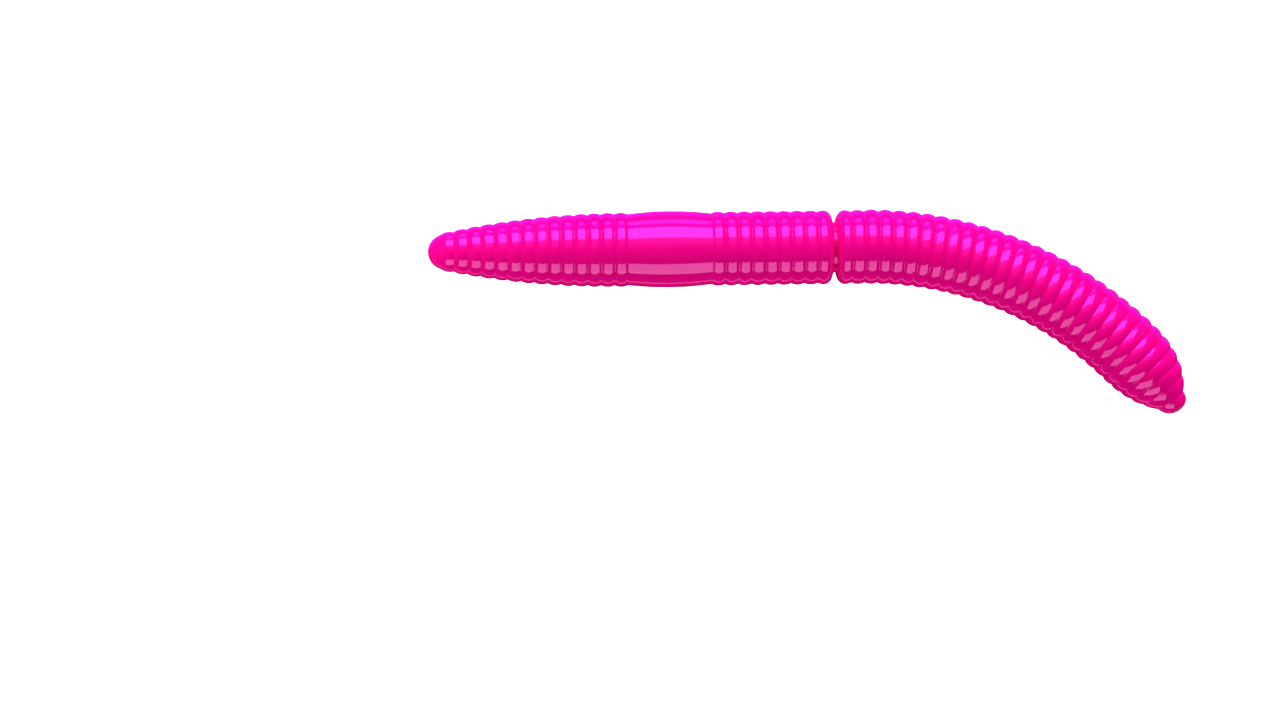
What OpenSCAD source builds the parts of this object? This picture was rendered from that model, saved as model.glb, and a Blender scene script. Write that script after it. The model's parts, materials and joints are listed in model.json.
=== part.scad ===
// Soft plastic fishing worm with moulded rings, lying on its side on a flat surface.
// Millimetres. +X runs along the straight front half from nose to tail, the tail curls
// towards -Y, and +Z is up. The origin is on the surface, under the middle of the worm's
// bounding box. The worm flexes at every groove, so each ring is a solid of its own, and
// neighbouring rings open away from each other towards the skin to leave room for the bend.

/* [Rings] */
// Diameter at the bottom of the grooves, away from the tapered ends
groove_d = 6.6; // [5.6:0.02:6.9]
// Height of each rounded ring above its grooves
ring_rise = 0.15; // [0.08:0.01:0.26]
// Length of one ring of the head
head_pitch = 1.24; // [1.1:0.01:1.5]
// Length of one ring of the middle and of the tail
body_pitch = 1.23; // [1.1:0.01:1.5]
// Length of the ring on each side of the saddle
saddle_ring_pitch = 1.24; // [1.1:0.01:1.6]

/* [Nose and head] */
// Length of the nose in front of the first groove
nose_l = 1.15; // [0.9:0.01:1.5]
// Length over which the head narrows towards the nose
head_taper_l = 17.4; // [12:0.1:20]
// Radius of the long arc that narrows the head
head_taper_r = 77.4; // [70:0.2:120]

/* [Saddle] */
// Length of the smooth saddle
saddle_l = 7.77; // [5:0.01:10]
// Diameter at the middle of the saddle
saddle_d = 7.1; // [7.0:0.02:8]

/* [Waist] */
// Diameter of the waist neck
neck_d = 4.7; // [3.6:0.05:5.6]
// Length of the waist neck
neck_l = 0.7; // [0.5:0.05:1.2]

/* [Tail] */
// Bend of the tail from one ring to the next, in degrees
tail_bend = 2.015; // [0:0.005:3]
// Rings of the tail that stay in line with the body
straight_rings = 2; // [1:1:8]
// Length of the rounded tip behind the last groove
tip_l = 1.26; // [0.9:0.02:1.6]
// Length over which the tail narrows to its tip
tail_taper_l = 7.1; // [5:0.1:10]
// Fullness of the tail's end: a larger number is blunter
tail_fullness = 2.3; // [1.6:0.1:3]

/* [Flex] */
// Largest bend of one groove to either side, in degrees
flex = 8; // [4:0.5:9]
// Gap between neighbouring rings on the centreline
core_gap = 0.06; // [0.04:0.01:0.1]

/* [Hidden] */
head_rings = 14;
mid_rings = 9;
tail_rings = 29;

// Angle that stays free between two neighbours at full bend, shared by both
flex_margin = 0.3;

function name_of(stem, n) = str(stem, n < 10 ? "_0" : "_", n);
function names_of(stem, count) = [for (n = [1:count]) name_of(stem, n)];

$fn = 96;

body_color = [1.0, 0.06, 0.62];
saddle_color = [1.0, 0.12, 0.72];
neck_color = [0.85, 0.03, 0.5];

// Places in the row of pieces, counted from the nose
saddle_at = head_rings + 1;
neck_at = saddle_at + mid_rings + 1;
tip_at = neck_at + tail_rings + 1;

lengths = concat(
    [nose_l],
    [for (n = [1:head_rings]) n < head_rings ? head_pitch : saddle_ring_pitch],
    [saddle_l],
    [for (n = [1:mid_rings]) n > 1 ? body_pitch : saddle_ring_pitch],
    [neck_l],
    [for (n = [1:tail_rings]) body_pitch],
    [tip_l]
);

// Distance along the centreline from the nose to the front of each piece
function sum_to(n) = n == 0 ? 0 : lengths[n - 1] + sum_to(n - 1);
stations = [for (i = [0:len(lengths)]) sum_to(i)];
body_l = stations[len(lengths)];

// The centreline is a straight line and then one arc
bend_start = stations[neck_at + 1 + straight_rings];
bend_per_mm = tail_bend / body_pitch;
function turned(s) = bend_per_mm * max(0, s - bend_start);
bend_r = 180 / (PI * max(bend_per_mm, 0.001));
function along(s) = min(s, bend_start) + bend_r * sin(turned(s));
function aside(s) = -bend_r * (1 - cos(turned(s)));

// Radius at the bottom of a groove that is s from the nose
function head_narrowing(s) = let (u = max(0, head_taper_l - s))
    head_taper_r - sqrt(pow(head_taper_r, 2) - pow(u, 2));
function tail_share(s) = let (t = min(1, (body_l - s) / tail_taper_l))
    pow(1 - pow(1 - t, tail_fullness), 0.82);
function groove_r(s) = (groove_d / 2 - head_narrowing(s)) * tail_share(s);

// The bounding box, from the widest circle of each piece
axis_z = saddle_d / 2;
function middle(i) = (stations[i] + stations[i + 1]) / 2;
function reach(i) = i == tip_at ? cap_r(tip_l, groove_r(stations[i]))
    : groove_r(middle(i)) + ring_rise;
function reach_point(i) = i == tip_at ? body_l - reach(i) : middle(i);
function far_x(i) = along(reach_point(i))
    + reach(i) * (i == tip_at ? 1 : sin(turned(reach_point(i))));
function far_y(i) = aside(reach_point(i))
    - reach(i) * (i == tip_at ? 1 : cos(turned(reach_point(i))));
tail_pieces = [neck_at + 1:tip_at];
box_x = max([for (i = tail_pieces) far_x(i)]);
box_y_low = min([for (i = tail_pieces) far_y(i)]);
box_y_high = saddle_d / 2;

// Places a shape that stands on its own Z axis at s along the centreline
module on_centreline(s) {
    translate([along(s) - box_x / 2, aside(s) - (box_y_low + box_y_high) / 2, axis_z])
        rotate([0, 0, -turned(s)])
            rotate([0, 90, 0])
                children();
}

// Half of the angle by which two neighbours stand open, so that they clear at full bend
function opening(i) = flex / 2 + flex_margin + (turned(stations[i + 1]) > 0 ? tail_bend / 2 : 0);

// Profile of the room for the bend at one groove, widening from the axis to the skin
module flex_gap(at, angle) {
    gap_r = saddle_d;
    rim = core_gap / 2 + gap_r * tan(angle);
    translate([0, at])
        polygon([[0, -core_gap / 2], [gap_r, -rim], [gap_r, rim], [0, core_gap / 2]]);
}

// Piece i of the worm, turned from a profile that runs from -l / 2 to l / 2
module turned_piece(i) {
    l = lengths[i];
    on_centreline(middle(i))
        rotate_extrude()
            difference() {
                children();
                if (i > 0) flex_gap(-l / 2, opening(i));
                if (i < tip_at) flex_gap(l / 2, opening(i));
            }
}

// Radius of the ball whose cap is l high and r in radius at its base
function cap_r(l, r) = (pow(l, 2) + pow(r, 2)) / (2 * l);

// Profile of a rounded end with its pole at -l / 2 and its base at l / 2
module cap_profile(l, r) {
    intersection() {
        translate([0, cap_r(l, r) - l / 2])
            circle(r = cap_r(l, r));
        translate([0, -l / 2])
            square([2 * r, l]);
    }
}

// Profile of a ring between two grooves, bulging by rise above the line between them
module ring_profile(l, front_r, back_r, rise) {
    slope = atan2(back_r - front_r, l);
    chord = l / cos(slope);
    arc_r = (pow(chord / 2, 2) + pow(rise, 2)) / (2 * rise);
    arc_depth = arc_r - rise;
    mean_r = (front_r + back_r) / 2;
    core_r = min(front_r, back_r) - rise;
    translate([0, -l / 2])
        square([core_r, l]);
    intersection() {
        translate([mean_r - arc_depth * cos(slope), arc_depth * sin(slope)])
            circle(r = arc_r, $fn = arc_r > saddle_d ? 720 : 96);
        translate([core_r / 2, -l / 2])
            square([2 * saddle_d, l]);
    }
}

module ring(i, rise) {
    turned_piece(i)
        ring_profile(lengths[i], groove_r(stations[i]), groove_r(stations[i + 1]), rise);
}

module nose_tip() {
    color(body_color)
        turned_piece(0)
            cap_profile(nose_l, groove_r(nose_l));
}

module head_ring(n) {
    color(body_color)
        ring(n, ring_rise);
}

module saddle_band() {
    color(saddle_color)
        ring(saddle_at, saddle_d / 2 - groove_r(middle(saddle_at)));
}

module mid_ring(n) {
    color(body_color)
        ring(saddle_at + n, ring_rise);
}

module waist_neck() {
    color(neck_color)
        turned_piece(neck_at)
            translate([0, -neck_l / 2])
                square([neck_d / 2, neck_l]);
}

module tail_ring(n) {
    color(body_color)
        ring(neck_at + n, ring_rise);
}

module tail_tip() {
    color(body_color)
        turned_piece(tip_at)
            mirror([0, 1])
                cap_profile(tip_l, groove_r(stations[tip_at]));
}

nose_tip();
for (n = [1:head_rings])
    head_ring(n);
saddle_band();
for (n = [1:mid_rings])
    mid_ring(n);
waist_neck();
for (n = [1:tail_rings])
    tail_ring(n);
tail_tip();
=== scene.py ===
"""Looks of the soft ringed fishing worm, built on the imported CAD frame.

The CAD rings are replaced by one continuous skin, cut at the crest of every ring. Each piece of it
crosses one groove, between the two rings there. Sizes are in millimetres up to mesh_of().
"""

import json
import math

import bpy
import numpy as np
from mathutils import Matrix, Vector

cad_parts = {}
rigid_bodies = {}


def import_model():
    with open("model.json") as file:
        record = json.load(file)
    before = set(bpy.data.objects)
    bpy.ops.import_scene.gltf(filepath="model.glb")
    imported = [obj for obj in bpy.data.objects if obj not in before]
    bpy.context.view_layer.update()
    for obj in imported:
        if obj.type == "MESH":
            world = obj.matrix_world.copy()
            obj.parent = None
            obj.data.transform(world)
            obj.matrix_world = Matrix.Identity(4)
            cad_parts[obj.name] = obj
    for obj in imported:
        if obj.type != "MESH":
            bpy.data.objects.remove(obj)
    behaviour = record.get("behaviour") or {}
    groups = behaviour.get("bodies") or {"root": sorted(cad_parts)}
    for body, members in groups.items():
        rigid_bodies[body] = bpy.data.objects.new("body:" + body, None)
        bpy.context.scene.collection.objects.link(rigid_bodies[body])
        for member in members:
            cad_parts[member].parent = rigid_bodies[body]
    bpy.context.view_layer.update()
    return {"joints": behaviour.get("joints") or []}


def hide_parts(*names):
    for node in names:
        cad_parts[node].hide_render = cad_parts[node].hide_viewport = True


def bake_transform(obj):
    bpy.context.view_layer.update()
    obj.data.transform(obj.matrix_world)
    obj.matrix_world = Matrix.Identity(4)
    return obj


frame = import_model()

MM = 0.001

# Driving sizes of the part
GROOVE_D = 6.6
RING_RISE = 0.15
HEAD_PITCH = 1.24
BODY_PITCH = 1.23
SADDLE_RING_PITCH = 1.24
NOSE_L = 1.15
HEAD_TAPER_L = 17.4
HEAD_TAPER_R = 77.4
SADDLE_L = 7.77
SADDLE_D = 7.1
NECK_D = 4.7
NECK_L = 0.7
TAIL_BEND = 2.015
STRAIGHT_RINGS = 2
TIP_L = 1.26
TAIL_TAPER_L = 7.1
TAIL_FULLNESS = 2.3
TAIL_ROUNDING = 0.82
HEAD_RINGS = 14
MID_RINGS = 9
TAIL_RINGS = 29

# Finer shape that only the skin has: the fillet at the bottom of a groove, the drop and squareness of
# the shoulders beside the waist, half the width of its floor, and how much more a ring of the bent
# tail rises on the outer side of the bend
GROOVE_FILLET = 0.041
SHOULDER_DROP = 1.02
SHOULDER_POWER = 1.95
NECK_HALF_W = 0.16
OUTER_RELIEF = 0.35

# Density of the skin: points around it, along a shoulder and along a rounded end
SIDES = 120
SHOULDER_POINTS = 19
CAP_POINTS = 22

# ---------------------------------------------------------------- the worm's own line and radius

names = (
    ["nose_tip"]
    + [f"head_ring_{n:02d}" for n in range(1, HEAD_RINGS + 1)]
    + ["saddle_band"]
    + [f"mid_ring_{n:02d}" for n in range(1, MID_RINGS + 1)]
    + ["waist_neck"]
    + [f"tail_ring_{n:02d}" for n in range(1, TAIL_RINGS + 1)]
    + ["tail_tip"]
)
SADDLE_AT = HEAD_RINGS + 1
NECK_AT = SADDLE_AT + MID_RINGS + 1
TIP_AT = NECK_AT + TAIL_RINGS + 1
lengths = np.array(
    [NOSE_L]
    + [HEAD_PITCH] * (HEAD_RINGS - 1)
    + [SADDLE_RING_PITCH, SADDLE_L, SADDLE_RING_PITCH]
    + [BODY_PITCH] * (MID_RINGS - 1)
    + [NECK_L]
    + [BODY_PITCH] * TAIL_RINGS
    + [TIP_L]
)
stations = np.concatenate([[0.0], np.cumsum(lengths)])
BODY_L = stations[-1]
BEND_START = stations[NECK_AT + 1 + STRAIGHT_RINGS]
BEND_PER_MM = math.radians(TAIL_BEND) / BODY_PITCH
BEND_R = 1 / BEND_PER_MM

# The nose's place comes from the frame: the first hinge is at the first groove
first_hinge = next(j for j in frame["joints"] if "nose_tip" in (j["parent"], j["child"]))
ORIGIN = np.array(first_hinge["pos_m"]) / MM - np.array([NOSE_L, 0.0, 0.0])


def turned(s):
    return BEND_PER_MM * np.maximum(0.0, s - BEND_START)


def line(s):
    """Points on the centreline, and its direction there."""
    s = np.asarray(s, float)
    a = turned(s)
    x = np.minimum(s, BEND_START) + BEND_R * np.sin(a)
    y = -BEND_R * (1 - np.cos(a))
    points = np.stack([x, y, np.zeros_like(x)], -1) + ORIGIN
    along = np.stack([np.cos(a), -np.sin(a), np.zeros_like(a)], -1)
    return points, along


def groove_r(s):
    s = np.asarray(s, float)
    u = np.maximum(0.0, HEAD_TAPER_L - s)
    narrowing = HEAD_TAPER_R - np.sqrt(HEAD_TAPER_R**2 - u**2)
    t = np.clip((BODY_L - s) / TAIL_TAPER_L, 0, 1)
    return (GROOVE_D / 2 - narrowing) * (1 - (1 - t) ** TAIL_FULLNESS) ** TAIL_ROUNDING


def middle(i):
    return (stations[i] + stations[i + 1]) / 2


def cap_r(length, r):
    return (length**2 + r**2) / (2 * length)


def piece_r(i, s):
    """Radius of piece i at s, carried on past its ends so that neighbours can be joined smoothly."""
    if i in (0, TIP_AT):
        length = lengths[i]
        r = cap_r(length, groove_r(stations[1] if i == 0 else stations[i]))
        depth = s if i == 0 else BODY_L - s
        return np.sqrt(np.maximum(0.0, r**2 - (r - depth) ** 2))
    half = lengths[i] / 2
    rise = SADDLE_D / 2 - groove_r(middle(i)) if i == SADDLE_AT else RING_RISE
    arc = (half**2 + rise**2) / (2 * rise)
    x = s - middle(i)
    front, back = groove_r(stations[i]), groove_r(stations[i + 1])
    chord = front + (back - front) * (x + half) / (2 * half)
    return chord + np.sqrt(np.maximum(0.0, arc**2 - x**2)) - (arc - rise)


def joined_r(i, s):
    """Radius around the groove between pieces i and i + 1, with the groove's small fillet."""
    a, b = piece_r(i, s), piece_r(i + 1, s)
    h = np.maximum(GROOVE_FILLET - np.abs(a - b), 0) / GROOVE_FILLET
    return np.maximum(a, b) + h * h * GROOVE_FILLET / 4


# ---------------------------------------------------------------- the skin's profile, nose to tail

# Distances from a groove: in its fillet, and then on towards the crest of the ring
IN_FILLET = [0.0, 0.007, 0.014, 0.022, 0.03, 0.04]
NEAR_GROOVE = IN_FILLET + [0.055, 0.08, 0.12, 0.17, 0.23, 0.3, 0.37, 0.44, 0.51]
# The first point past the fillet on a rounded end, the room kept free before a crest, and the step
# along the saddle, whose last one may be up to a fifth longer
FILLET_EDGE = 0.05
CREST_ROOM = 0.04
SADDLE_STEP = 0.25


def half_ring(length):
    """Distances from a groove to the crest of a ring next to it, close together near the groove."""
    half = length / 2
    steps = [d for d in NEAR_GROOVE if d < half - CREST_ROOM]
    while half - steps[-1] > 1.2 * SADDLE_STEP:
        steps.append(steps[-1] + SADDLE_STEP)
    return steps + [half]


def cap_steps(length, r):
    """Distances from the pole of a rounded end to the edge of the fillet at its groove."""
    ball = cap_r(length, r)
    steep = math.acos(1 - (length - FILLET_EDGE) / ball)
    return ball * (1 - np.cos(np.linspace(0, steep, CAP_POINTS)))


def shoulder(crest_s, crest_r, sign):
    """Profile from the crest beside the waist down to the neck."""
    wall = abs(middle(NECK_AT) - crest_s) - NECK_HALF_W
    t = np.linspace(0, math.pi / 2, SHOULDER_POINTS)
    x = wall * np.sin(t) ** (2 / SHOULDER_POWER)
    r = crest_r - SHOULDER_DROP + SHOULDER_DROP * np.abs(np.cos(t)) ** (2 / SHOULDER_POWER)
    foot = r[-1]
    floor = NECK_D / 2
    # the corner at the foot of the wall: how far past the wall, and how much of the drop is left there
    for past, left in ((0.008, 0.45), (0.022, 0.15), (0.045, 0.03), (0.08, 0.0)):
        x = np.append(x, wall + past)
        r = np.append(r, floor + (foot - floor) * left)
    return list(zip(crest_s + sign * x, r))


def profile():
    """(s, r) points of the whole skin, and where the cut through each piece's middle falls in them."""
    points, cuts = [], [0]
    for i in range(TIP_AT):
        groove = stations[i + 1]
        if i == NECK_AT - 1:
            crest = middle(i)
            points += shoulder(crest, float(piece_r(i, crest)), 1)[1:]
            points.append((middle(NECK_AT), NECK_D / 2))
        elif i == NECK_AT:
            crest = middle(i + 1)
            points += shoulder(crest, float(piece_r(i + 1, crest)), -1)[::-1]
        else:
            if i == 0:
                before = list(cap_steps(NOSE_L, float(groove_r(NOSE_L))))
                before += [NOSE_L - d for d in IN_FILLET[:0:-1]]
            else:
                before = [groove - d for d in half_ring(lengths[i])[:0:-1]][1:]
            if i + 1 == TIP_AT:
                after = [groove + d for d in IN_FILLET]
                after += list(BODY_L - cap_steps(TIP_L, float(groove_r(stations[TIP_AT])))[::-1])
            else:
                after = [groove + d for d in half_ring(lengths[i + 1])]
            s = np.array(before + after)
            points += list(zip(s, joined_r(i, s)))
        cuts.append(len(points) - 1)
    return np.array(points), cuts


def skin_points():
    """Every vertex of the skin and its normal, as [profile point][side], and where it is cut."""
    prof, cuts = profile()
    s, r = prof[:, 0], np.maximum(prof[:, 1], 0.0)
    centre, along = line(s)
    around = np.linspace(0, 2 * math.pi, SIDES, endpoint=False)
    up = np.array([0.0, 0.0, 1.0])
    aside = np.cross(up, along)
    out = (
        np.cos(around)[None, :, None] * aside[:, None, :]
        + np.sin(around)[None, :, None] * up[None, None, :]
    )
    relief = np.maximum(0.0, r - groove_r(s)) * (turned(s) > 0)
    r = r[:, None] + OUTER_RELIEF * relief[:, None] * np.clip(np.cos(around), 0, 1)[None, :]
    co = centre[:, None, :] + r[:, :, None] * out
    way = np.concatenate([[0], np.cumsum(np.hypot(np.diff(s), np.diff(r[:, 0])))])
    lengthwise = np.gradient(co, way, axis=0)
    sideways = (
        -np.sin(around)[None, :, None] * aside[:, None, :]
        + np.cos(around)[None, :, None] * up[None, None, :]
    )
    normal = np.cross(sideways, lengthwise)
    normal[0] = -along[0]
    normal[-1] = along[-1]
    normal /= np.linalg.norm(normal, axis=-1, keepdims=True)
    return co, normal, cuts


# ---------------------------------------------------------------- material


def soft_plastic():
    """Glossy hot-pink plastic, with a faint cloud in its colour and in its gloss."""
    mat = bpy.data.materials.new("soft_plastic")
    mat.use_nodes = True
    tree = mat.node_tree
    tree.nodes.clear()
    out = tree.nodes.new("ShaderNodeOutputMaterial")
    shader = tree.nodes.new("ShaderNodeBsdfPrincipled")
    tree.links.new(shader.outputs["BSDF"], out.inputs["Surface"])
    shader.inputs["IOR"].default_value = 1.6
    shader.inputs["Specular IOR Level"].default_value = 0.9
    shader.inputs["Specular Tint"].default_value = (1.0, 0.3, 1.0, 1.0)
    place = tree.nodes.new("ShaderNodeTexCoord")
    cloud = tree.nodes.new("ShaderNodeTexNoise")
    cloud.inputs["Scale"].default_value = 260.0
    cloud.inputs["Detail"].default_value = 2.0
    tree.links.new(place.outputs["Object"], cloud.inputs["Vector"])
    tone = tree.nodes.new("ShaderNodeValToRGB")
    tone.color_ramp.elements[0].position = 0.3
    tone.color_ramp.elements[0].color = (0.86, 0.001, 0.237, 1)
    tone.color_ramp.elements[1].position = 0.7
    tone.color_ramp.elements[1].color = (0.91, 0.0015, 0.253, 1)
    tree.links.new(cloud.outputs["Fac"], tone.inputs["Fac"])
    tree.links.new(tone.outputs["Color"], shader.inputs["Base Color"])
    gloss = tree.nodes.new("ShaderNodeMapRange")
    gloss.inputs["To Min"].default_value = 0.015
    gloss.inputs["To Max"].default_value = 0.035
    tree.links.new(cloud.outputs["Fac"], gloss.inputs["Value"])
    tree.links.new(gloss.outputs["Result"], shader.inputs["Roughness"])
    return mat


# ---------------------------------------------------------------- build the skin


def mesh_of(name, co, normal, front_pole, back_pole, material):
    """A tube of quads over co, closed to a point at a pole."""
    first, last = (1 if front_pole else 0), len(co) - (1 if back_pole else 0)
    verts = co[first:last].reshape(-1, 3)
    normals = normal[first:last].reshape(-1, 3)
    last_row = (last - first - 1) * SIDES
    faces = []
    k = np.arange(SIDES)
    k2 = (k + 1) % SIDES
    for a in range(0, last_row, SIDES):
        b = a + SIDES
        faces += np.stack([a + k, a + k2, b + k2, b + k], -1).tolist()
    if front_pole:
        verts = np.vstack([verts, co[0, :1]])
        normals = np.vstack([normals, normal[0, :1]])
        pole = len(verts) - 1
        faces += [[pole, int(k2[n]), int(n)] for n in k]
    if back_pole:
        verts = np.vstack([verts, co[-1, :1]])
        normals = np.vstack([normals, normal[-1, :1]])
        pole = len(verts) - 1
        faces += [[int(last_row + n), int(last_row + k2[n]), pole] for n in k]
    mesh = bpy.data.meshes.new(name)
    mesh.from_pydata((verts * MM).tolist(), [], faces)
    mesh.polygons.foreach_set("use_smooth", [True] * len(mesh.polygons))
    mesh.materials.append(material)
    mesh.update()
    mesh.normals_split_custom_set_from_vertices(normals.tolist())
    obj = bpy.data.objects.new(name, mesh)
    bpy.context.scene.collection.objects.link(obj)
    return obj


def build_skin(material):
    co, normal, cuts = skin_points()
    for i in range(TIP_AT):
        a, b = names[i], names[i + 1]
        part = slice(cuts[i], cuts[i + 1] + 1)
        obj = mesh_of(f"skin_{a}-{b}", co[part], normal[part], i == 0, i + 1 == TIP_AT, material)
        # the points one ring's length around the groove, short of the two crests, are found on the line
        # but not used
        groove = stations[i + 1]
        reach = BODY_PITCH / 2
        start, end = max(middle(i), groove - reach), min(middle(i + 1), groove + reach)
        (start, end), _ = line([start, end])
        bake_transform(obj)
        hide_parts(a, b)


# ---------------------------------------------------------------- studio


# In metres: the tip of the nose, and what the lights aim at, near the middle of the worm
NOSE = Vector(ORIGIN * MM)
AIM = NOSE + Vector((0.03, -0.006, 0.0))

# Strength of the white light from all round
AMBIENT = 0.55

# The white room, in metres. It ends close enough to be inside the reach of every view's camera
ROOM_FLOOR = -0.15
ROOM_TOP = 1.5
ROOM_HALF_W = 1.5


def softbox(name, towards, zenith, reach, size, radiance, color, gloss=True, falloff=False, aim=AIM):
    """A soft light aimed at the worm. zenith is its angle from straight up in degrees, and towards the
    compass direction that it leans to: (0, 1) is the top of the picture. It shows either in the gloss
    or, without gloss, in the matt part. With falloff it is brightest at its lower edge and fades to
    nothing at its upper edge."""
    data = bpy.data.lights.new(name, "AREA")
    data.shape = "RECTANGLE"
    data.size, data.size_y = size
    data.color = color
    data.energy = radiance * math.pi * size[0] * size[1]
    if falloff:
        data.use_nodes = True
        tree = data.node_tree
        place = tree.nodes.new("ShaderNodeNewGeometry")
        split = tree.nodes.new("ShaderNodeSeparateXYZ")
        tree.links.new(place.outputs["Parametric"], split.inputs["Vector"])
        tree.links.new(split.outputs["Y"], tree.nodes["Emission"].inputs["Strength"])
    obj = bpy.data.objects.new(name, data)
    bpy.context.scene.collection.objects.link(obj)
    lean = Vector((towards[0], towards[1], 0)).normalized()
    tilt = math.radians(zenith)
    back = lean * math.sin(tilt) + Vector((0, 0, math.cos(tilt)))
    x = lean.cross(Vector((0, 0, 1)))
    basis = Matrix((x, back.cross(x), back)).transposed().to_4x4()
    obj.matrix_world = Matrix.Translation(aim + back * reach) @ basis
    obj.visible_camera = False
    obj.visible_glossy = gloss
    obj.visible_diffuse = not gloss


def span(reach, low, high):
    """Height of a panel that spans these two zenith angles at that reach."""
    return 2 * reach * math.tan(math.radians(high - low) / 2)


def soft_world():
    """An even white light from all round, which the gloss doesn't show."""
    scene = bpy.context.scene
    scene.view_settings.view_transform = "Standard"
    scene.view_settings.look = "None"
    world = bpy.data.worlds.new("studio")
    world.use_nodes = True
    world.node_tree.nodes["Background"].inputs["Color"].default_value = (1, 1, 1, 1)
    world.node_tree.nodes["Background"].inputs["Strength"].default_value = AMBIENT
    scene.world = world
    world.cycles_visibility.glossy = False


def white_room():
    """Floor, walls and ceiling, for the camera only: the lights below the floor still reach the worm."""
    w = ROOM_HALF_W
    square = ((-w, -w), (w, -w), (w, w), (-w, w))
    corners = [(x, y, z) for z in (ROOM_FLOOR, ROOM_TOP) for x, y in square]
    walls = [(n, (n + 1) % 4, (n + 1) % 4 + 4, n + 4) for n in range(4)]
    mesh = bpy.data.meshes.new("white_room")
    mesh.from_pydata(corners, [], [(0, 1, 2, 3), (7, 6, 5, 4)] + walls)
    room = bpy.data.objects.new("white_room", mesh)
    bpy.context.scene.collection.objects.link(room)
    mat = bpy.data.materials.new("white_room")
    mat.use_nodes = True
    shader = mat.node_tree.nodes["Principled BSDF"]
    shader.inputs["Base Color"].default_value = (0.9, 0.9, 0.9, 1)
    shader.inputs["Roughness"].default_value = 1.0
    shader.inputs["Emission Color"].default_value = (1, 1, 1, 1)
    shader.inputs["Emission Strength"].default_value = 1.0
    mesh.materials.append(mat)
    room.visible_diffuse = False
    room.visible_glossy = False
    room.visible_shadow = False


def gloss_lights():
    """What shows in the gloss. The key and the fill are the two rows of square highlights, key_edge
    fades the upper row out towards the middle, upper_wash and upper_strip are the band and the marks
    above it, and lower_strip and under line the two edges."""
    top, bottom = (0, 1), (0, -1)
    magenta, cream, violet, pink = (1.0, 0.2, 1.0), (1.0, 1.0, 0.86), (1.0, 0.03, 1.0), (1.0, 0.14, 1.0)
    far = 0.9
    softbox("key", top, 52.2, far, (0.9, span(far, 34.5, 70)), 6.1, magenta)
    softbox("key_edge", top, 18.7, far, (0.9, span(far, 3, 34.5)), 1.4, magenta, falloff=True)
    softbox("upper_wash", top, 85, far, (0.8, span(far, 70, 100)), 1.3, violet)
    softbox("upper_strip", top, 92, far, (0.4, span(far, 83.5, 100)), 2.3, pink)
    softbox("fill", bottom, 65, far, (0.95, span(far, 47, 83)), 2.25, cream)
    softbox("lower_strip", bottom, 127.5, 0.173, (0.5, 0.012), 1.0, cream)
    softbox("under", top, 143, 0.13, (0.5, 0.12), 1.2, violet)


def matt_lights():
    """What shades the matt part of the plastic: wide lights round the worm and a small one at its nose."""
    top, bottom, left = (0, 1), (0, -1), (-1, 0)
    white = (1, 1, 1)
    far, wide = 0.9, (2.5, 0.5)
    softbox("high_glow", top, 45, far, wide, 1.15, white, gloss=False)
    softbox("top_glow", top, 65, far, wide, 3.2, white, gloss=False)
    softbox("side_glow", top, 100, far, wide, 1.5, white, gloss=False)
    softbox("under_glow", top, 120, far, wide, 3.3, white, gloss=False)
    softbox("low_glow", bottom, 118, far, wide, 2.5, white, gloss=False)
    softbox("nose_glow", left, 70, 0.016, (0.02, 0.02), 1.6, white, gloss=False, aim=NOSE)


# ---------------------------------------------------------------- camera

# From above the worm's head, 2 degrees off the vertical
LENS = 115.27
CAMERA_AT = NOSE + Vector((0.00622, -0.01012, 0.38))
LOOKS_AT = NOSE + Vector((0.01954, -0.01024, 0.0))
PICTURE_UP = Vector((0.01302, 0.99992, 0.0))


def camera():
    data = bpy.data.cameras.new("camera")
    data.lens = LENS
    data.sensor_width = 36.0
    data.clip_start = 0.01
    data.clip_end = 30.0
    obj = bpy.data.objects.new("camera", data)
    bpy.context.scene.collection.objects.link(obj)
    back = (CAMERA_AT - LOOKS_AT).normalized()
    x = PICTURE_UP.cross(back).normalized()
    basis = Matrix((x, back.cross(x), back)).transposed().to_4x4()
    obj.matrix_world = Matrix.Translation(CAMERA_AT) @ basis
    bpy.context.scene.camera = obj


build_skin(soft_plastic())
soft_world()
white_room()
gloss_lights()
matt_lights()
camera()
